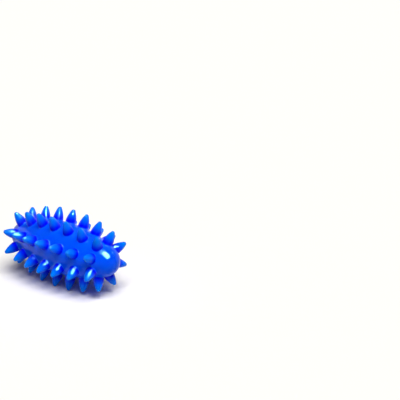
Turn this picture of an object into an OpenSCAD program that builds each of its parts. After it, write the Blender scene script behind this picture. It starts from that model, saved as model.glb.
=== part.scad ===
// Oblong sensory ball: a hollow vinyl roll in two moulded halves, set with rows of blunt spikes,
// with a filling valve let into the rear half. Millimetres. X runs along the roll, Z is up,
// -Y is the front, and the roll lies on its two lowest rows of spikes on the plane z = 0.

/* [Roll] */
// Length of the roll from end to end
body_length = 95; // [84:1:120]
// Widest diameter of the skin, without the spikes
body_d = 34; // [30:0.5:42]
// Radius of the two rounded ends
end_r = 10; // [8:0.5:12]
// Thickness of the skin
wall = 2.5; // [2.2:0.1:3.5]

/* [Spikes] */
// Rows of spikes around the roll, in fours so that the joint and the valve lie between rows
rows = 8; // [4, 8]
// Spikes in each row
stations = 7; // [3:1:7]
// Distance from spike to spike along a row
pitch = 12; // [9:0.5:12.5]
// Height of a spike above the skin
spike_length = 9; // [6:0.1:12]
// Diameter of a spike at its root
spike_root_d = 7.2; // [5:0.1:7.6]
// Radius of a spike's rounded tip
spike_tip_r = 1.4; // [0.8:0.1:1.7]

/* [Joint between the halves] */
// Width of the glue line between the two halves
seam_gap = 0.06; // [0.04:0.01:0.2]
// How far the front half's tongue reaches into the rear half
tongue_height = 1.5; // [1:0.1:2]
// Clearance around the tongue
tongue_clearance = 0.1; // [0.05:0.01:0.15]

/* [Valve] */
// Diameter of the sleeve's flange
flange_d = 8.4; // [8:0.1:9]
// Diameter of the sleeve's barrel
barrel_d = 5.9; // [5.6:0.1:6.2]
// Length of the moulded collar that holds the barrel, below the flange
collar_length = 5.8; // [4.5:0.1:7]
// Diameter of the plug's stem
stem_d = 4; // [3.6:0.1:4.2]
// Diameter of the plug's head
head_d = 6.4; // [5.6:0.1:7]
// Diameter of the guide hole for a pump needle
needle_d = 2.1; // [1.8:0.1:2.3]
// Depth of the guide hole below the top of the head
needle_depth = 6.5; // [5:0.1:7]

/* [Hidden] */

skin_colour = [0.0, 0.26, 0.95];
sleeve_colour = [0.0, 0.2, 0.75];
plug_colour = [0.92, 0.93, 0.95];

// Facets of the preview: flat curves take more than tight ones
round_facets = 48;
profile_facets = 240;

// The roll's side is one long arc that runs into a part of a sphere at each end
body_r = body_d / 2;
end_x = body_length / 2 - end_r;
side_r = ogive_arc_r(body_length / 2, body_r, end_r);
meet_x = end_x * side_r / (side_r - end_r);

// A spike is sunk into the skin by half the wall, so that the two fuse
spike_sink = wall / 2;
spike_root_r = spike_root_d / 2;
row_angle = 360 / rows;
side_rows = rows / 2;

// Height of the roll's axis: the two lowest rows straddle the line straight down
tip_centre_r = body_r + spike_length - spike_tip_r;
axis_z = tip_centre_r * cos(row_angle / 2) + spike_tip_r;

// The tongue stands in the middle of the wall, and is rooted as deep as it is high
tongue_inset = 0.33 * wall;

// The valve stands between four spikes, or between two where a gap is at the middle of the row.
// Its own heights are counted from the skin, and are negative inwards.
valve_x = stations % 2 == 1 ? pitch / 2 : 0;
valve_y = skin_r(valve_x);
glue = 0.03;
flange_floor = -1.6;
flange_top = -0.4;
flange_r = flange_d / 2;
recess_r = flange_r + 0.1;
barrel_r = barrel_d / 2;
collar_r = barrel_r + 2;
collar_end = flange_floor - collar_length;
collar_root = flange_floor + 0.2;
barb_r = barrel_r + 0.5;
barb_length = 1.4;
sleeve_end = collar_end - barb_length;
running_clearance = 0.05;
stem_r = stem_d / 2;
bore_r = stem_r + running_clearance;
head_r = head_d / 2;
head_seat = flange_top + running_clearance;
head_top = 0.55;
head_edge = 0.35;
stem_end = sleeve_end + 0.6;
stem_chamfer = 0.5;
needle_r = needle_d / 2;

// Larger than anything that a cutting block has to cover
far = body_length + body_d + 4 * spike_length;

// An ogive's tip stands out past its side arc by a hair, so that the two arcs cross and don't only touch
function inner_tip_r(tip_r) = 0.998 * tip_r;

// Radius of the side arc of an ogive that is upright at its base and runs on into its rounded tip
function ogive_arc_r(length, base_r, tip_r) =
    (base_r ^ 2 - inner_tip_r(tip_r) ^ 2 + (length - tip_r) ^ 2) / (2 * (base_r - inner_tip_r(tip_r)));

// Radius of the skin at a distance x from the middle of the roll
function skin_r(x) = abs(x) < meet_x
    ? body_r - side_r + sqrt(side_r ^ 2 - x ^ 2)
    : sqrt(end_r ^ 2 - (abs(x) - end_x) ^ 2);

// How far the skin's outward normal leans towards the nearer end there, in degrees
function skin_lean(x) = abs(x) < meet_x
    ? asin(x / side_r)
    : sign(x) * asin((abs(x) - end_x) / end_r);

// Half outline of a blunt ogive, with its base on the X axis and its tip up the Y axis
module ogive_outline(length, base_r, tip_r, inset = 0) {
    arc_r = ogive_arc_r(length, base_r, tip_r);
    tip_y = length - tip_r;
    meet_y = tip_y * (arc_r - inset) / (arc_r - inner_tip_r(tip_r));
    intersection() {
        translate([base_r - arc_r, 0]) circle(arc_r - inset, $fn = profile_facets);
        square([base_r, meet_y]);
    }
    intersection() {
        translate([0, tip_y]) circle(tip_r - inset, $fn = round_facets);
        square([base_r, length]);
    }
}

// The whole roll without spikes, as a solid, all round smaller by the inset
module roll(inset) {
    translate([0, 0, axis_z])
        rotate([0, 90, 0])
            rotate_extrude($fn = 2 * round_facets)
                for (end = [0, 1])
                    mirror([0, end]) ogive_outline(body_length / 2, body_r, end_r, inset);
}

// Everything between two planes square to Y
module slab(front_y, rear_y) {
    translate([-far, front_y, -far]) cube([2 * far, rear_y - front_y, 2 * far]);
}

// Part of the roll's skin between two depths in the wall and two planes
module skin_band(outer_inset, inner_inset, front_y, rear_y) {
    intersection() {
        difference() {
            roll(outer_inset);
            roll(inner_inset);
        }
        slab(front_y, rear_y);
    }
}

// One spike, standing up from the skin at the origin
module spike() {
    translate([0, 0, -spike_sink])
        rotate_extrude($fn = round_facets / 2)
            ogive_outline(spike_length + spike_sink, spike_root_r, spike_tip_r);
}

// The spikes of one half. Each stands square to the skin. The half's side is -1 in front, 1 behind.
module spikes(side) {
    for (row = [0 : side_rows - 1])
        for (station = [0 : stations - 1]) {
            x = (station - (stations - 1) / 2) * pitch;
            around = -side * (row + 0.5) * row_angle;
            translate([0, 0, axis_z])
                rotate([around, 0, 0])
                    translate([x, 0, skin_r(x)])
                        rotate([0, skin_lean(x), 0])
                            spike();
        }
}

// Puts a turned shape on the valve's axis, pointing out of the rear half
module on_valve_axis() {
    translate([valve_x, valve_y, axis_z]) rotate([-90, 0, 0]) children();
}

// One half of the skin with its spikes, up to the glue line
module half_skin(side) {
    intersection() {
        union() {
            difference() {
                roll(0);
                roll(wall);
            }
            spikes(side);
        }
        if (side < 0) slab(-far, -seam_gap / 2);
        else slab(seam_gap / 2, far);
    }
}

// Half of the skin on the viewer's side, with the tongue along its edge
module front_half() {
    color(skin_colour) union() {
        half_skin(-1);
        skin_band(tongue_inset, wall - tongue_inset, -tongue_height, tongue_height);
    }
}

// Half of the skin on the far side, with the groove for the tongue and the collar for the valve
module rear_half() {
    groove_inset = tongue_inset - tongue_clearance;
    groove_depth = tongue_height + tongue_clearance;
    color(skin_colour) difference() {
        union() {
            half_skin(1);
            on_valve_axis()
                translate([0, 0, collar_end])
                    cylinder(h = collar_root - collar_end, r = collar_r, $fn = round_facets);
        }
        skin_band(groove_inset, wall - groove_inset, -groove_depth, groove_depth);
        on_valve_axis() {
            translate([0, 0, flange_floor])
                cylinder(h = far, r = recess_r, $fn = round_facets);
            translate([0, 0, collar_end - wall])
                cylinder(h = far, r = barrel_r + glue, $fn = round_facets);
        }
    }
}

// Soft flanged bush, pushed into the collar until its barb springs out behind it
module valve_sleeve() {
    color(sleeve_colour) on_valve_axis() rotate_extrude($fn = round_facets)
        polygon([
            [bore_r, flange_top],
            [flange_r, flange_top],
            [flange_r, flange_floor + glue],
            [barrel_r, flange_floor + glue],
            [barrel_r, collar_end - glue],
            [barb_r, collar_end - glue],
            [barrel_r - 0.2, sleeve_end],
            [bore_r, sleeve_end]
        ]);
}

// Stopper with a low head to lift by, and a blind hole that guides a pump needle
module valve_plug() {
    needle_floor = head_top - needle_depth;
    color(plug_colour) on_valve_axis() rotate_extrude($fn = round_facets)
        polygon([
            [needle_r, head_top],
            [head_r - head_edge, head_top],
            [head_r, head_top - head_edge],
            [head_r, head_seat],
            [stem_r, head_seat],
            [stem_r, stem_end + stem_chamfer],
            [stem_r - stem_chamfer, stem_end],
            [0, stem_end],
            [0, needle_floor],
            [needle_r, needle_floor]
        ]);
}

front_half();
rear_half();
valve_sleeve();
valve_plug();
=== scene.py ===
"""Oblong sensory ball: a hollow vinyl roll set with rows of blunt spikes, lying on a white table."""

import math

import bmesh
import bpy
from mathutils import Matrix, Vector


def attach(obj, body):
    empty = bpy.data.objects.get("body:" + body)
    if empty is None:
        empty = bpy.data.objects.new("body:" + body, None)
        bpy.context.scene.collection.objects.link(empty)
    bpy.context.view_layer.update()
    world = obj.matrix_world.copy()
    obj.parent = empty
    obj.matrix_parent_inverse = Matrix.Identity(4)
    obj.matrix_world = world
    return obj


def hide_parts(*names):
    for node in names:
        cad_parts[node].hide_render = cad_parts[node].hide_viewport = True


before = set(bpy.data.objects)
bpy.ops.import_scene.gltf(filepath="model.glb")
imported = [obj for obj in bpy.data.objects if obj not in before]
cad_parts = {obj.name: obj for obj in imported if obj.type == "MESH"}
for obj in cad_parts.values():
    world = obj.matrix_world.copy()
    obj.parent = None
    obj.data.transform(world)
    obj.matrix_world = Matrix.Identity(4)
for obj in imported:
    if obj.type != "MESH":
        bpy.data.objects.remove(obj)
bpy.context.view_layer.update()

# The skin's shape: a roll whose side is one long arc that runs into a part of a sphere at each end.
# It is moulded hollow, in two halves that meet on the upright plane through the roll's axis, and
# the same curves give its outside, its inside and the edges where the halves are glued.
MM = 0.001
BODY_LENGTH = 95 * MM
BODY_R = 17 * MM
END_R = 10 * MM
WALL = 2.5 * MM
ROWS_PER_HALF = 4
STATIONS = 7
PITCH = 12 * MM
SPIKE_LENGTH = 9 * MM
SPIKE_ROOT_R = 3.6 * MM
SPIKE_TIP_R = 1.4 * MM
SPIKE_SINK = WALL / 2
ROW_ANGLE = math.pi / ROWS_PER_HALF
AXIS_Z = (BODY_R + SPIKE_LENGTH - SPIKE_TIP_R) * math.cos(ROW_ANGLE / 2) + SPIKE_TIP_R
FRONT = -1
REAR = 1
TOUCHING = 1e-6
DROP_ROUNDS = 8


def ogive_arc_radius(length, base_r, tip_r):
    """Radius of the side arc of a blunt ogive that is upright at its base."""
    return (base_r**2 - tip_r**2 + (length - tip_r) ** 2) / (2 * (base_r - tip_r))


SIDE_R = ogive_arc_radius(BODY_LENGTH / 2, BODY_R, END_R)
END_X = BODY_LENGTH / 2 - END_R
MEET_X = END_X * SIDE_R / (SIDE_R - END_R)


def skin_radius(x, inset=0.0):
    """Radius of the skin, or of the surface that lies inside it by the inset, at x along the roll."""
    if abs(x) <= END_X + (MEET_X - END_X) * (END_R - inset) / END_R:
        return BODY_R - SIDE_R + math.sqrt((SIDE_R - inset) ** 2 - x**2)
    return math.sqrt((END_R - inset) ** 2 - (abs(x) - END_X) ** 2)


def skin_normal(side, x, angle):
    """Outward normal of the skin at x. The angle is from straight up, to the half's side."""
    lean = math.asin(x / SIDE_R)
    out = math.cos(lean)
    return Vector((math.sin(lean), side * out * math.sin(angle), out * math.cos(angle)))


def skin_point(side, x, angle, inset=0.0):
    """Point on the side of the roll, or under it by the inset."""
    radius = skin_radius(x)
    point = Vector((x, side * radius * math.sin(angle), AXIS_Z + radius * math.cos(angle)))
    return point - inset * skin_normal(side, x, angle)


def drop_to_skin(point, normal):
    """The point, moved along the normal until it lies on the skin."""
    for _ in range(DROP_ROUNDS):
        above = math.hypot(point.y, point.z - AXIS_Z) - skin_radius(point.x)
        point = point - above * normal
    return point


# The hole in the rear half that takes the valve: a round recess for the sleeve's flange, and below it
# a collar on the inside of the skin, both moulded with the half. It stands between four spikes.
VALVE_X = PITCH / 2
VALVE_Y = skin_radius(VALVE_X)
VALVE_CORNER = (VALVE_X, math.pi / 2)
RECESS_R = 4.3 * MM
RECESS_FLOOR = -1.6 * MM
HOLE_LIP = 0.2 * MM
BARREL_BORE_R = 2.98 * MM
COLLAR_R = 4.95 * MM
COLLAR_LENGTH = 5.8 * MM
COLLAR_END = RECESS_FLOOR - COLLAR_LENGTH
COLLAR_SHARES = (0.4, 0.75, 1.0)


def valve_point(radius, turn, height):
    """Point about the valve's axis, which points out of the rear half. Height 0 is at the skin."""
    x = VALVE_X + radius * math.cos(turn)
    z = AXIS_Z + radius * math.sin(turn)
    return Vector((x, VALVE_Y + height, z))


def on_skin_about_valve(radius, turn, inset=0.0):
    """Point of the rear skin, or of the surface inside it, seen along the valve's axis."""
    point = valve_point(radius, turn, 0.0)
    point.y = math.sqrt(skin_radius(point.x, inset) ** 2 - (point.z - AXIS_Z) ** 2)
    return point


# The outside of a half: one square cell of skin for each spike, drawn in to a ring round the spike's
# foot, with a soft fillet up into the spike as a polished mould leaves it, and a round tip.
SIDE_STEPS = 10
ARC_STEPS = 5
CELL_STEPS = 4 * SIDE_STEPS
SEAM_LIP = 0.25 * MM
FOOT_FILLET = 0.5 * MM
SPIKE_ARC_R = ogive_arc_radius(SPIKE_LENGTH + SPIKE_SINK, SPIKE_ROOT_R, SPIKE_TIP_R)
TIP_CENTRE = SPIKE_LENGTH - SPIKE_TIP_R
SHOULDER = (TIP_CENTRE + SPIKE_SINK) * SPIKE_ARC_R / (SPIKE_ARC_R - SPIKE_TIP_R) - SPIKE_SINK
PATCH_SHARES = (0.3, 0.55, 0.75, 0.9)
FILLET_STEPS = 6
SPIKE_STEPS = 9
TIP_STEPS = 5
FIRST_CORNER_TURN = math.radians(-135)


def cell_edge_x(station):
    """Where the cell of a station starts along the roll. The last cells end at the round ends."""
    if station == 0:
        return -MEET_X
    if station == STATIONS:
        return MEET_X
    return (station - STATIONS / 2) * PITCH


def row_edge(row, x):
    """Angle at which a row's cell starts. The outer rows stop short of the glued joint by its lip."""
    if row == 0:
        return math.asin(SEAM_LIP / skin_radius(x))
    if row == ROWS_PER_HALF:
        return math.pi - math.asin(SEAM_LIP / skin_radius(x))
    return row * ROW_ANGLE


def corner_is_at_valve(side, corner):
    """Whether this corner of a cell is the place of the valve."""
    return side == REAR and math.dist(corner, VALVE_CORNER) < TOUCHING


def hole_turn(corner, other):
    """Turn about the valve's axis at which a cell's side leaves the valve's corner."""
    along = other[0] - corner[0]
    if abs(along) > TOUCHING:
        return 0.0 if along > 0 else math.pi
    return math.pi / 2 if other[1] < corner[1] else -math.pi / 2


def cell_side(side, start, end, before, after):
    """Points along one side of a cell, without its last. A side at the valve goes round its hole."""
    first = corner_is_at_valve(side, start)
    last = corner_is_at_valve(side, end)
    if not first and not last:
        line = []
        for step in range(SIDE_STEPS):
            share = step / SIDE_STEPS
            x = start[0] + share * (end[0] - start[0])
            line.append(cell_point(side, x, start[1] + share * (end[1] - start[1])))
        return line
    hole_r = RECESS_R + HOLE_LIP
    corner, far, beyond = (start, end, before) if first else (end, start, after)
    this_turn = hole_turn(corner, far)
    other_turn = hole_turn(corner, beyond)
    half_turn = math.remainder(other_turn - this_turn, 2 * math.pi) / 2
    rim = on_skin_about_valve(hole_r, this_turn)
    rim_angle = math.atan2(rim.y, rim.z - AXIS_Z)
    line = []
    for step in range(ARC_STEPS):
        turn = this_turn + half_turn * (1 - step / ARC_STEPS)
        line.append(on_skin_about_valve(hole_r, turn))
    for step in range(SIDE_STEPS - ARC_STEPS + 1):
        share = step / (SIDE_STEPS - ARC_STEPS)
        x = rim.x + share * (far[0] - rim.x)
        line.append(cell_point(side, x, rim_angle + share * (far[1] - rim_angle)))
    return line[:-1] if first else line[:0:-1]


def cell_point(side, x, angle):
    """Point of a cell's outline, held off the glued joint by the joint's lip."""
    angle = min(max(angle, row_edge(0, x)), row_edge(ROWS_PER_HALF, x))
    return skin_point(side, x, angle)


def cell_outline(side, row, station):
    """Closed outline of one cell on the skin, from its first corner round to it again."""
    low, high = cell_edge_x(station), cell_edge_x(station + 1)
    corners = [
        (low, row * ROW_ANGLE),
        (high, row * ROW_ANGLE),
        (high, (row + 1) * ROW_ANGLE),
        (low, (row + 1) * ROW_ANGLE),
    ]
    outline = []
    for index, corner in enumerate(corners):
        before = corners[index - 1]
        end = corners[(index + 1) % len(corners)]
        after = corners[(index + 2) % len(corners)]
        outline += cell_side(side, corner, end, before, after)
    return outline


def spike_radius(height):
    """Radius of a spike at a height above the skin, below its rounded tip."""
    return SPIKE_ROOT_R - SPIKE_ARC_R + math.sqrt(SPIKE_ARC_R**2 - (height + SPIKE_SINK) ** 2)


def spike_loops(side, row, station):
    """Loops of points from a cell's outline over the skin, up the spike's foot and side to its tip."""
    x = (station - (STATIONS - 1) / 2) * PITCH
    angle = (row + 0.5) * ROW_ANGLE
    base = skin_point(side, x, angle)
    normal = skin_normal(side, x, angle)
    across = Vector((0.0, side * math.cos(angle), -math.sin(angle)))
    along = side * across.cross(normal)
    outline = cell_outline(side, row, station)
    rays = []
    for step in range(CELL_STEPS):
        turn = FIRST_CORNER_TURN + 2 * math.pi * step / CELL_STEPS
        rays.append(math.cos(turn) * along + math.sin(turn) * across)

    feet = []
    corners = []
    collars = []
    for ray in rays:
        corner = drop_to_skin(base + SPIKE_ROOT_R * ray, normal)
        height = (corner - base).dot(normal)
        corner = base + spike_radius(height) * ray + height * normal
        rise = height + FOOT_FILLET
        feet.append(drop_to_skin(corner + FOOT_FILLET * ray, normal))
        corners.append(corner)
        collars.append(base + spike_radius(rise) * ray + rise * normal)

    loops = [outline]
    for share in PATCH_SHARES:
        loops.append([drop_to_skin(a.lerp(b, share), normal) for a, b in zip(outline, feet)])
    for step in range(FILLET_STEPS):
        share = step / FILLET_STEPS
        loop = []
        for foot, corner, collar in zip(feet, corners, collars):
            loop.append(foot.lerp(corner, share).lerp(corner.lerp(collar, share), share))
        loops.append(loop)
    for step in range(SPIKE_STEPS):
        share = step / SPIKE_STEPS
        loop = []
        for ray, collar in zip(rays, collars):
            start = (collar - base).dot(normal)
            height = start + share * (SHOULDER - start)
            loop.append(base + spike_radius(height) * ray + height * normal)
        loops.append(loop)
    shoulder_tilt = math.asin((SHOULDER - TIP_CENTRE) / SPIKE_TIP_R)
    for step in range(TIP_STEPS):
        tilt = shoulder_tilt + (math.pi / 2 - shoulder_tilt) * step / TIP_STEPS
        out = SPIKE_TIP_R * math.cos(tilt)
        up = TIP_CENTRE + SPIKE_TIP_R * math.sin(tilt)
        loops.append([base + out * ray + up * normal for ray in rays])
    return loops, base + SPIKE_LENGTH * normal


# The edge of a half, where it is glued to the other: a rounded lip outside, then a flat rim with the
# tongue of the front half or the groove of the rear half in the middle of the wall.
SEAM_GAP = 0.06 * MM
TONGUE_INSET = 0.33 * WALL
TONGUE_HEIGHT = 1.5 * MM
TONGUE_CLEARANCE = 0.1 * MM
LIP_STEPS = 5
END_STEPS = ROWS_PER_HALF * SIDE_STEPS
DOME_STEPS = 16
WELD_DISTANCE = 2e-6
SKIN_SHARP_ANGLE = math.radians(40)


def along_roll():
    """Every x at which the cells have points, from one round end to the other."""
    places = []
    for station in range(STATIONS):
        low, high = cell_edge_x(station), cell_edge_x(station + 1)
        places += [low + (high - low) * step / SIDE_STEPS for step in range(SIDE_STEPS)]
    return places + [MEET_X]


def end_tilts():
    """Angles from straight up along the edge of a round end, from its top corner to its bottom one."""
    reach = math.sqrt(END_R**2 - SEAM_LIP**2)
    first = math.asin((MEET_X - END_X) / reach)
    return [first + (math.pi - 2 * first) * step / END_STEPS for step in range(END_STEPS + 1)]


def seam_stations():
    """Places round the glued edge, in order: the point of the roll's outline and its outward normal."""
    places = []
    for x in along_roll():
        places.append((Vector((x, 0, AXIS_Z + skin_radius(x))), skin_normal(REAR, x, 0.0)))
    for tilt in end_tilts()[1:-1]:
        normal = Vector((math.sin(tilt), 0, math.cos(tilt)))
        places.append((Vector((END_X, 0, AXIS_Z)) + END_R * normal, normal))
    for point, normal in list(places):
        turned = Vector((-point.x, 0, 2 * AXIS_Z - point.z))
        places.append((turned, Vector((-normal.x, 0, -normal.z))))
    return places


def lip_point(side, point, normal):
    """Point on the skin where the lip of the glued edge starts, beside a place on the edge."""
    if abs(point.x) <= MEET_X:
        radius = abs(point.z - AXIS_Z)
        rise = math.copysign(math.sqrt(radius**2 - SEAM_LIP**2), point.z - AXIS_Z)
        return Vector((point.x, side * SEAM_LIP, AXIS_Z + rise))
    centre = Vector((math.copysign(END_X, point.x), 0, AXIS_Z))
    lip = centre + math.sqrt(END_R**2 - SEAM_LIP**2) * normal
    return Vector((lip.x, side * SEAM_LIP, lip.z))


def edge_loops(side):
    """Loops from the skin over the lip and across the rim to the inside of the wall."""
    stations = seam_stations()
    loops = [[lip_point(side, point, normal) for point, normal in stations]]
    profile = []
    fall = SEAM_LIP - SEAM_GAP / 2
    for step in range(1, LIP_STEPS + 1):
        turn = math.pi / 2 * step / LIP_STEPS
        profile.append((fall * (1 - math.cos(turn)), SEAM_LIP - fall * math.sin(turn)))
    rim = SEAM_GAP / 2
    if side == FRONT:
        inset, reach = TONGUE_INSET, -TONGUE_HEIGHT
    else:
        inset, reach = TONGUE_INSET - TONGUE_CLEARANCE, TONGUE_HEIGHT + TONGUE_CLEARANCE
    profile += [(inset, rim), (inset, reach), (WALL - inset, reach), (WALL - inset, rim), (WALL, rim)]
    for depth, off in profile:
        loops.append([point - depth * normal + Vector((0, side * off, 0)) for point, normal in stations])
    return loops


def round_end(end, rim, edge, radius):
    """Rows of points over half of a round end, from where the side arc stops to the glued edge."""
    centre = Vector((end * END_X, 0, AXIS_Z))
    rows = [rim]
    for step in range(1, DOME_STEPS):
        share = step / DOME_STEPS
        row = []
        for start, stop in zip(rim, edge):
            if (stop - start).length < TOUCHING:
                row.append(start)
                continue
            ray = (start - centre).normalized().slerp((stop - centre).normalized(), share)
            row.append(centre + radius * ray)
        rows.append(row)
    rows.append(edge)
    return rows


def outer_ends(side):
    """Rows of points over the outside of the two round ends."""
    for end in (-1, 1):
        angles = [ROW_ANGLE * step / SIDE_STEPS for step in range(END_STEPS + 1)]
        rim = [cell_point(side, end * MEET_X, angle) for angle in angles]
        edge = [rim[0]]
        reach = math.sqrt(END_R**2 - SEAM_LIP**2)
        for tilt in end_tilts()[1:-1]:
            x = end * (END_X + reach * math.sin(tilt))
            edge.append(Vector((x, side * SEAM_LIP, AXIS_Z + reach * math.cos(tilt))))
        edge.append(rim[-1])
        yield round_end(end, rim, edge, END_R)


def inside_wall(side):
    """Grid of points on the inside of the wall, by place along the roll and then by angle."""
    grid = []
    for x in along_roll():
        row = [skin_point(side, x, math.pi * step / END_STEPS, WALL) for step in range(END_STEPS + 1)]
        row[0].y = row[-1].y = side * SEAM_GAP / 2
        grid.append(row)
    return grid


def inner_ends(side, grid):
    """Rows of points over the inside of the two round ends."""
    for end, rim in ((-1, grid[0]), (1, grid[-1])):
        edge = [rim[0]]
        for tilt in end_tilts()[1:-1]:
            x = end * (END_X + (END_R - WALL) * math.sin(tilt))
            edge.append(Vector((x, side * SEAM_GAP / 2, AXIS_Z + (END_R - WALL) * math.cos(tilt))))
        edge.append(rim[-1])
        yield round_end(end, rim, edge, END_R - WALL)


def valve_seat_loops(grid, first, last, low, high):
    """Loops from a square opening in the inside wall, over the collar and bore, to the skin's hole."""
    border = [grid[i][low] for i in range(first, last)]
    border += [grid[last][j] for j in range(low, high)]
    border += [grid[i][high] for i in range(last, first, -1)]
    border += [grid[first][j] for j in range(high, low, -1)]
    turns = [-FIRST_CORNER_TURN - 2 * math.pi * step / CELL_STEPS for step in range(CELL_STEPS)]
    loops = [border]
    for share in COLLAR_SHARES:
        loop = []
        for point, turn in zip(border, turns):
            aim = on_skin_about_valve(COLLAR_R, turn, WALL)
            x = point.x + share * (aim.x - point.x)
            z = point.z + share * (aim.z - point.z)
            depth = math.sqrt(skin_radius(x, WALL) ** 2 - (z - AXIS_Z) ** 2)
            loop.append(Vector((x, depth, z)))
        loops.append(loop)
    for radius, height in (
        (COLLAR_R, COLLAR_END),
        (BARREL_BORE_R, COLLAR_END),
        (BARREL_BORE_R, RECESS_FLOOR),
        (RECESS_R, RECESS_FLOOR),
    ):
        loops.append([valve_point(radius, turn, height) for turn in turns])
    for step in range(LIP_STEPS + 1):
        tilt = math.pi / 2 * step / LIP_STEPS
        radius = RECESS_R + HOLE_LIP * (1 - math.cos(tilt))
        sink = Vector((0, HOLE_LIP * (1 - math.sin(tilt)), 0))
        loops.append([on_skin_about_valve(radius, turn) - sink for turn in turns])
    return loops


def bridge(shell, loops, closed):
    """Adds faces between each loop of points and the next."""
    verts = [[shell.verts.new(point) for point in loop] for loop in loops]
    for lower, upper in zip(verts, verts[1:]):
        for index in range(len(lower) if closed else len(lower) - 1):
            after = (index + 1) % len(lower)
            shell.faces.new((lower[index], lower[after], upper[after], upper[index]))
    return verts[-1]


def close_to_point(shell, ring, point):
    """Adds a fan of faces from a ring to a point."""
    peak = shell.verts.new(point)
    for index, vert in enumerate(ring):
        shell.faces.new((vert, ring[(index + 1) % len(ring)], peak))


def finished_object(shell, name, material, sharp_angle):
    """Welds the pieces of a shell, turns its faces outwards and puts it in the scene."""
    bmesh.ops.remove_doubles(shell, verts=shell.verts, dist=WELD_DISTANCE)
    bmesh.ops.recalc_face_normals(shell, faces=shell.faces)
    mesh = bpy.data.meshes.new(name)
    shell.to_mesh(mesh)
    shell.free()
    mesh.shade_smooth()
    mesh.set_sharp_from_angle(angle=sharp_angle)
    mesh.materials.append(material)
    piece = bpy.data.objects.new(name, mesh)
    bpy.context.scene.collection.objects.link(piece)
    return piece


def keep_spike_heights(piece):
    """Keeps how high each point stands above the skin, for the material."""
    heights = piece.data.attributes.new("spike_height", "FLOAT", "POINT")
    for vert, height in zip(piece.data.vertices, heights.data):
        if abs(vert.co.x) < MEET_X:
            height.value = math.hypot(vert.co.y, vert.co.z - AXIS_Z) - skin_radius(vert.co.x)


def half_skin(side, name, material):
    """One half of the skin as a closed shell, with its spikes, its glued edge and its inside wall."""
    shell = bmesh.new()
    for row in range(ROWS_PER_HALF):
        for station in range(STATIONS):
            loops, tip = spike_loops(side, row, station)
            close_to_point(shell, bridge(shell, loops, closed=True), tip)
    for rows in outer_ends(side):
        bridge(shell, rows, closed=False)
    bridge(shell, edge_loops(side), closed=True)
    grid = inside_wall(side)
    for rows in inner_ends(side, grid):
        bridge(shell, rows, closed=False)
    if side == FRONT:
        bridge(shell, grid, closed=False)
    else:
        first = (STATIONS // 2) * SIDE_STEPS + SIDE_STEPS // 2
        last = first + SIDE_STEPS
        low = (END_STEPS - SIDE_STEPS) // 2
        high = low + SIDE_STEPS
        bridge(shell, grid[: first + 1], closed=False)
        bridge(shell, [row[: low + 1] for row in grid[first : last + 1]], closed=False)
        bridge(shell, [row[high:] for row in grid[first : last + 1]], closed=False)
        bridge(shell, grid[last:], closed=False)
        bridge(shell, valve_seat_loops(grid, first, last, low, high), closed=True)
    piece = finished_object(shell, name, material, SKIN_SHARP_ANGLE)
    keep_spike_heights(piece)
    return piece


# Soft vinyl (plasticised PVC) from a polished mould, coloured right through. It gives the eye an even blue
# with sharp highlights and a faint slow ripple where the skin shrank as it cooled. Painted shade deepens
# the blue at the foot of each spike, and painted light pales it towards each spike's tip.
VINYL_BLUE = "#0058FF"
VINYL_DEEP_BLUE = "#0051FF"
# Painted shade at the spike feet:
PAINTED_FOOT_SHADE_BLUE = "#0004EC"
# Painted light towards the spike tips:
PAINTED_TIP_LIGHT_BLUE = "#007CFF"
VINYL_HIGHLIGHT = "#68C4FF"
VINYL_IOR = 1.5
VINYL_GLOSS = 0.2
GLOSS_SPREAD = 0.2
VINYL_GLOW = 0.5
VINYL_GLOW_DEPTH = 1.5 * MM
VINYL_GLOW_REACH = (0.1, 0.2, 1.0)
SKIN_ROUGHNESS = 0.07
SKIN_RIPPLE = 0.02
RIPPLE_SIZE = 7 * MM
RIPPLE_DEPTH = 0.3 * MM
CLOUD_SIZE = 18 * MM
MOULD_GRAIN_SIZE = 0.6 * MM
# Heights above the skin where the painted shade at a spike's foot and the painted light towards its tip
# lie.
PAINTED_SHADE_START = 0.1 * MM
PAINTED_SHADE_FULL = 0.7 * MM
PAINTED_SHADE_FADE = 1.8 * MM
PAINTED_SHADE_END = 5.0 * MM
PAINTED_LIGHT_START = 3.0 * MM
PAINTED_LIGHT_END = 8.0 * MM
# A colour mix node has its two colours and its result at these sockets
MIX_FIRST = 6
MIX_SECOND = 7
MIX_RESULT = 2


def linear(code):
    """Linear colour with alpha from an sRGB hex code."""
    parts = [int(code[i : i + 2], 16) / 255 for i in (1, 3, 5)]
    straight = [p / 12.92 if p <= 0.04045 else ((p + 0.055) / 1.055) ** 2.4 for p in parts]
    return (*straight, 1.0)


def add_node(tree, kind, settings=None, links=None):
    """Adds a node to a tree. Settings go by attribute or socket, and links by socket."""
    node = tree.nodes.new(kind)
    for name, value in (settings or {}).items():
        if name in node.inputs:
            node.inputs[name].default_value = value
        else:
            setattr(node, name, value)
    for name, source in (links or {}).items():
        tree.links.new(source, node.inputs[name])
    return node


def new_material(name):
    """An empty node material, with its tree and its output node."""
    material = bpy.data.materials.new(name)
    material.use_nodes = True
    material.node_tree.nodes.clear()
    tree = material.node_tree
    return material, tree, add_node(tree, "ShaderNodeOutputMaterial")


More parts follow.
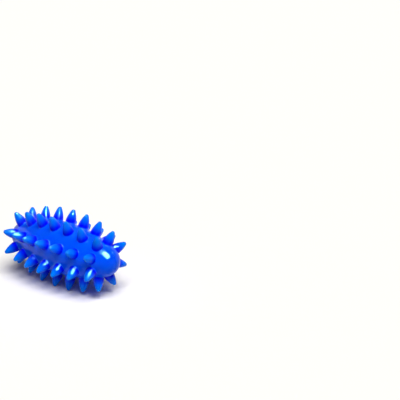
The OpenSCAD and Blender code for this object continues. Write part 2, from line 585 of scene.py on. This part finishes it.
def moulded_vinyl(name, main, deep, foot, tip, roughness, ripple):
    """Soft vinyl that drifts between two shades, with painted shade in the foot colour at a spike's foot
    and painted light in the tip colour towards its tip.
    """
    material, tree, output = new_material(name)
    place = add_node(tree, "ShaderNodeTexCoord").outputs["Object"]
    cloud = add_node(
        tree, "ShaderNodeTexNoise", {"Scale": 1 / CLOUD_SIZE, "Detail": 1.0}, {"Vector": place}
    )
    grain = add_node(
        tree, "ShaderNodeTexNoise", {"Scale": 1 / MOULD_GRAIN_SIZE, "Detail": 2.0}, {"Vector": place}
    )
    wave = add_node(
        tree, "ShaderNodeTexNoise", {"Scale": 1 / RIPPLE_SIZE, "Detail": 0.0}, {"Vector": place}
    )
    shade = add_node(tree, "ShaderNodeMix", {"data_type": "RGBA"}, {"Factor": cloud.outputs["Fac"]})
    shade.inputs[MIX_FIRST].default_value = linear(deep)
    shade.inputs[MIX_SECOND].default_value = linear(main)
    height = add_node(tree, "ShaderNodeAttribute", {"attribute_name": "spike_height"}).outputs["Fac"]
    # Painted shade: near each spike's foot the colour darkens to the foot blue, standing in for the shade
    # in the crease there.
    rise = add_node(
        tree, "ShaderNodeMapRange", {"From Min": PAINTED_SHADE_START, "From Max": PAINTED_SHADE_FULL}, {"Value": height}
    )
    painted_shade_falloff = add_node(
        tree,
        "ShaderNodeMapRange",
        {"From Min": PAINTED_SHADE_FADE, "From Max": PAINTED_SHADE_END, "To Min": 1.0, "To Max": 0.0},
        {"Value": height},
    )
    depth = add_node(
        tree,
        "ShaderNodeMath",
        {"operation": "MULTIPLY"},
        {0: rise.outputs["Result"], 1: painted_shade_falloff.outputs["Result"]},
    )
    # Painted light: towards each spike's tip the colour pales to the tip blue, standing in for the light
    # that falls on the tips.
    painted_light_share = add_node(
        tree, "ShaderNodeMapRange", {"From Min": PAINTED_LIGHT_START, "From Max": PAINTED_LIGHT_END}, {"Value": height}
    )
    painted_light_mix = add_node(
        tree,
        "ShaderNodeMix",
        {"data_type": "RGBA"},
        {"Factor": painted_light_share.outputs["Result"], MIX_FIRST: shade.outputs[MIX_RESULT]},
    )
    painted_light_mix.inputs[MIX_SECOND].default_value = linear(tip)
    colour = add_node(
        tree,
        "ShaderNodeMix",
        {"data_type": "RGBA"},
        {"Factor": depth.outputs["Value"], MIX_FIRST: painted_light_mix.outputs[MIX_RESULT]},
    )
    colour.inputs[MIX_SECOND].default_value = linear(foot)
    gloss = add_node(
        tree,
        "ShaderNodeMapRange",
        {"To Min": roughness * (1 - GLOSS_SPREAD), "To Max": roughness * (1 + GLOSS_SPREAD)},
        {"Value": grain.outputs["Fac"]},
    )
    bump = add_node(
        tree,
        "ShaderNodeBump",
        {"Strength": ripple, "Distance": RIPPLE_DEPTH},
        {"Height": wave.outputs["Fac"]},
    )
    shader = add_node(
        tree,
        "ShaderNodeBsdfPrincipled",
        {
            "IOR": VINYL_IOR,
            "Specular IOR Level": VINYL_GLOSS,
            "Specular Tint": linear(VINYL_HIGHLIGHT),
            "Subsurface Weight": VINYL_GLOW,
            "Subsurface Radius": VINYL_GLOW_REACH,
            "Subsurface Scale": VINYL_GLOW_DEPTH,
        },
        {
            "Base Color": colour.outputs[MIX_RESULT],
            "Roughness": gloss.outputs["Result"],
            "Normal": bump.outputs["Normal"],
        },
    )
    tree.links.new(shader.outputs["BSDF"], output.inputs["Surface"])
    return material


# The skin's vinyl, with painted shade at the spike feet and painted light towards the tips.
skin_vinyl = moulded_vinyl(
    "glossy_blue_vinyl",
    VINYL_BLUE,
    VINYL_DEEP_BLUE,
    PAINTED_FOOT_SHADE_BLUE,
    PAINTED_TIP_LIGHT_BLUE,
    SKIN_ROUGHNESS,
    SKIN_RIPPLE,
)

# The front half of the skin: four rows of spikes moulded in one with it, in the glossy blue vinyl. The
# tongue along its edge is glued into the rear half's groove.
front_skin = half_skin(FRONT, "front_skin", skin_vinyl)
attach(front_skin, "roll")
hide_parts("front_half")

# The rear half of the skin: the same moulding in the same vinyl, with the groove along its edge, and with
# the valve's hole and collar at its middle. The glued joint holds the two halves together for good.
rear_skin = half_skin(REAR, "rear_skin", skin_vinyl)
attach(rear_skin, "roll")
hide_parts("rear_half")

# The valve's sleeve: a soft flanged bush, turned in shape and moulded in the same vinyl, a little duller.
# It is pushed into the collar from outside until its barb springs out behind, and bonded there.
FLANGE_CLEARANCE = 0.1 * MM
FLANGE_R = RECESS_R - FLANGE_CLEARANCE
FLANGE_TOP = -0.4 * MM
FLANGE_EDGE = 0.3 * MM
GLUE = 0.03 * MM
BARREL_R = BARREL_BORE_R - GLUE
BARB_R = BARREL_R + 0.5 * MM
BARB_LENGTH = 1.4 * MM
BARB_NOSE_R = BARREL_R - 0.2 * MM
SLEEVE_END = COLLAR_END - BARB_LENGTH
SLEEVE_EDGE = 0.1 * MM
SLEEVE_BORE_R = 2.05 * MM
BORE_EDGE = 0.15 * MM
TURNED_STEPS = 72
TURNED_SHARP_ANGLE = math.radians(50)
CORNER_STEPS = 5
SLEEVE_BLUE = "#0044D8"
SLEEVE_DEEP_BLUE = "#003AC4"
SLEEVE_ROUGHNESS = 0.3
SATIN_RIPPLE = 0.05


def rounded_profile(corners):
    """Outline of a turned piece from its corners, each given as radius, height and rounding."""
    points = []
    for index, (radius, height, rounding) in enumerate(corners):
        corner = Vector((radius, height))
        if rounding == 0:
            points.append(corner)
            continue
        before = Vector(corners[index - 1][:2]) - corner
        after = Vector(corners[(index + 1) % len(corners)][:2]) - corner
        start = corner + rounding * before.normalized()
        end = corner + rounding * after.normalized()
        for step in range(CORNER_STEPS + 1):
            share = step / CORNER_STEPS
            points.append(start.lerp(corner, share).lerp(corner.lerp(end, share), share))
    return points


def turned_piece(name, corners, material, ring_shaped):
    """A piece turned about the valve's axis. A solid one starts and ends on the axis."""
    shell = bmesh.new()
    turns = [2 * math.pi * step / TURNED_STEPS for step in range(TURNED_STEPS)]
    loops = []
    for point in rounded_profile(corners):
        loops.append([valve_point(point.x, turn, point.y) for turn in turns])
    if ring_shaped:
        loops.append(loops[0])
    bridge(shell, loops, closed=True)
    return finished_object(shell, name, material, TURNED_SHARP_ANGLE)


sleeve_vinyl = moulded_vinyl(
    "satin_blue_vinyl",
    SLEEVE_BLUE,
    SLEEVE_DEEP_BLUE,
    SLEEVE_DEEP_BLUE,
    SLEEVE_BLUE,
    SLEEVE_ROUGHNESS,
    SATIN_RIPPLE,
)
sleeve = turned_piece(
    "valve_bush",
    [
        (SLEEVE_BORE_R, FLANGE_TOP, BORE_EDGE),
        (FLANGE_R, FLANGE_TOP, FLANGE_EDGE),
        (FLANGE_R, RECESS_FLOOR + GLUE, SLEEVE_EDGE),
        (BARREL_R, RECESS_FLOOR + GLUE, 0),
        (BARREL_R, COLLAR_END - GLUE, 0),
        (BARB_R, COLLAR_END - GLUE, SLEEVE_EDGE),
        (BARB_NOSE_R, SLEEVE_END, SLEEVE_EDGE),
        (SLEEVE_BORE_R, SLEEVE_END, SLEEVE_EDGE),
    ],
    sleeve_vinyl,
    ring_shaped=True,
)
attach(sleeve, "roll")
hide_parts("valve_sleeve")

# The valve's plug: a stopper in undyed milky vinyl that grips the sleeve's bore and lifts out by its low
# rounded head. A blind hole down its middle guides a pump needle.
RUNNING_CLEARANCE = 0.05 * MM
STEM_R = SLEEVE_BORE_R - RUNNING_CLEARANCE
STEM_END = SLEEVE_END + 0.6 * MM
STEM_NOSE = 0.6 * MM
HEAD_R = 3.2 * MM
HEAD_SEAT = FLANGE_TOP + RUNNING_CLEARANCE
HEAD_TOP = 0.55 * MM
HEAD_CROWN = 0.45 * MM
HEAD_RIM = 0.1 * MM
NEEDLE_R = 1.05 * MM
NEEDLE_FLOOR = HEAD_TOP - 6.5 * MM
NEEDLE_MOUTH = 0.25 * MM
NEEDLE_END = 0.3 * MM
PLUG_MILKY = "#EEF1F4"
PLUG_SHADE = "#DFE5EB"
PLUG_ROUGHNESS = 0.35

plug_vinyl = moulded_vinyl(
    "milky_vinyl", PLUG_MILKY, PLUG_SHADE, PLUG_SHADE, PLUG_MILKY, PLUG_ROUGHNESS, SATIN_RIPPLE
)
plug = turned_piece(
    "valve_stopper",
    [
        (0, NEEDLE_FLOOR, 0),
        (NEEDLE_R, NEEDLE_FLOOR, NEEDLE_END),
        (NEEDLE_R, HEAD_TOP, NEEDLE_MOUTH),
        (HEAD_R, HEAD_TOP, HEAD_CROWN),
        (HEAD_R, HEAD_SEAT, HEAD_RIM),
        (STEM_R, HEAD_SEAT, 0),
        (STEM_R, STEM_END, STEM_NOSE),
        (0, STEM_END, 0),
    ],
    plug_vinyl,
    ring_shaped=False,
)
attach(plug, "plug")
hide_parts("valve_plug")

# The table: a plain white sheet of paper that the roll lies on. A low white wall stands round it, far off,
# so that the ground behind the roll is white from every side. The paper throws back a little less light
# than it shows.
TABLE_WHITE = "#FEFDFB"
TABLE_BOUNCE = "#CCCCCC"
TABLE_HALF_WIDTH = 40.0
WALL_WHITE = "#FEFEFD"
WALL_DISTANCE = 4.0
WALL_HEIGHT = 1.4
WALL_SIDES = 96
STAGE_SHARP_ANGLE = math.radians(30)
ROOM_COLOUR = "#FFF8EC"
ROOM_LEVEL = 0.08

table_shell = bmesh.new()
bmesh.ops.create_grid(table_shell, x_segments=1, y_segments=1, size=TABLE_HALF_WIDTH)
table_paper, table_tree, table_output = new_material("white_paper")
table_rays = add_node(table_tree, "ShaderNodeLightPath")
table_shade = add_node(
    table_tree, "ShaderNodeMix", {"data_type": "RGBA"}, {"Factor": table_rays.outputs["Is Diffuse Ray"]}
)
table_shade.inputs[MIX_FIRST].default_value = linear(TABLE_WHITE)
table_shade.inputs[MIX_SECOND].default_value = linear(TABLE_BOUNCE)
paper = add_node(table_tree, "ShaderNodeBsdfDiffuse", {}, {"Color": table_shade.outputs[MIX_RESULT]})
table_tree.links.new(paper.outputs["BSDF"], table_output.inputs["Surface"])
table = finished_object(table_shell, "table", table_paper, STAGE_SHARP_ANGLE)

wall_shell = bmesh.new()
bmesh.ops.create_cone(
    wall_shell, segments=WALL_SIDES, radius1=WALL_DISTANCE, radius2=WALL_DISTANCE, depth=2 * WALL_HEIGHT
)
wall_paint, wall_tree, wall_output = new_material("white_backdrop")
wall_rays = add_node(wall_tree, "ShaderNodeLightPath").outputs
wall_seen = wall_rays["Is Camera Ray"]
for kind in ("Is Glossy Ray", "Is Transmission Ray"):
    either = add_node(
        wall_tree, "ShaderNodeMath", {"operation": "MAXIMUM"}, {0: wall_seen, 1: wall_rays[kind]}
    )
    wall_seen = either.outputs["Value"]
wall_white = add_node(wall_tree, "ShaderNodeEmission", {"Color": linear(WALL_WHITE), "Strength": 1.0})
wall_dim = add_node(
    wall_tree, "ShaderNodeEmission", {"Color": linear(ROOM_COLOUR), "Strength": ROOM_LEVEL}
)
wall_light = add_node(
    wall_tree,
    "ShaderNodeMixShader",
    {},
    {"Fac": wall_seen, 1: wall_dim.outputs["Emission"], 2: wall_white.outputs["Emission"]},
)
wall_tree.links.new(wall_light.outputs["Shader"], wall_output.inputs["Surface"])
backdrop = finished_object(wall_shell, "backdrop", wall_paint, STAGE_SHARP_ANGLE)
backdrop.visible_shadow = False

# The light of a plain room: a wide soft ceiling light that gives the shadow, and one long soft box at the
# upper right that only shows in the gloss, as the bright spots on the round end and the spikes.
CEILING_COLOUR = "#FFFDFB"
CEILING_STRENGTH = 3.45
CEILING_ANGLE = math.radians(40)
CEILING_FROM = Vector((0.42, -0.2, 0.88))
SOFT_BOX_POWER = 150.0
SOFT_BOX_PLACE = Vector((0.40, -0.06, 0.60))
SOFT_BOX_LENGTH = 0.78
SOFT_BOX_WIDTH = 0.36

world = bpy.data.worlds.new("white_room")
bpy.context.scene.world = world
world.use_nodes = True
world.node_tree.nodes.clear()
room = add_node(
    world.node_tree, "ShaderNodeBackground", {"Color": linear(ROOM_COLOUR), "Strength": ROOM_LEVEL}
)
add_node(world.node_tree, "ShaderNodeOutputWorld", {}, {"Surface": room.outputs["Background"]})


def add_lamp(name, kind, settings, place, aim):
    """Puts a lamp in the scene at a place, turned towards a point."""
    lamp = bpy.data.lights.new(name, kind)
    for key, value in settings.items():
        setattr(lamp, key, value)
    holder = bpy.data.objects.new(name, lamp)
    holder.location = place
    holder.rotation_euler = (aim - place).to_track_quat("-Z", "Y").to_euler()
    holder.visible_camera = False
    bpy.context.scene.collection.objects.link(holder)
    return holder


ceiling = add_lamp(
    "ceiling",
    "SUN",
    {"energy": CEILING_STRENGTH, "angle": CEILING_ANGLE, "color": linear(CEILING_COLOUR)[:3]},
    CEILING_FROM,
    Vector((0, 0, 0)),
)
ceiling.visible_glossy = False
soft_box = add_lamp(
    "soft_box",
    "AREA",
    {"energy": SOFT_BOX_POWER, "shape": "RECTANGLE", "size": SOFT_BOX_LENGTH, "size_y": SOFT_BOX_WIDTH},
    SOFT_BOX_PLACE,
    SOFT_BOX_PLACE - Vector((0, 0, 1)),
)
soft_box.visible_diffuse = False

# The camera stands where the photograph was taken from. Its place, turn and lens were fitted to the
# roll's outline and to its rows of spikes.
CAMERA_PLACE = Vector((433.98, -381.72, 237.08)) * MM
CAMERA_AZIMUTH = math.radians(39.8)
CAMERA_ELEVATION = math.radians(17.5)
CAMERA_LENS = 83.52
CAMERA_SENSOR = 36
CAMERA_NEAREST = 0.01
CAMERA_FARTHEST = 50

lens = bpy.data.cameras.new("camera")
lens.lens = CAMERA_LENS
lens.sensor_width = CAMERA_SENSOR
lens.clip_start = CAMERA_NEAREST
lens.clip_end = CAMERA_FARTHEST
camera = bpy.data.objects.new("camera", lens)
camera.location = CAMERA_PLACE
camera.rotation_euler = (math.pi / 2 - CAMERA_ELEVATION, 0, CAMERA_AZIMUTH)
bpy.context.scene.collection.objects.link(camera)
bpy.context.scene.camera = camera
bpy.context.scene.view_settings.view_transform = "Standard"
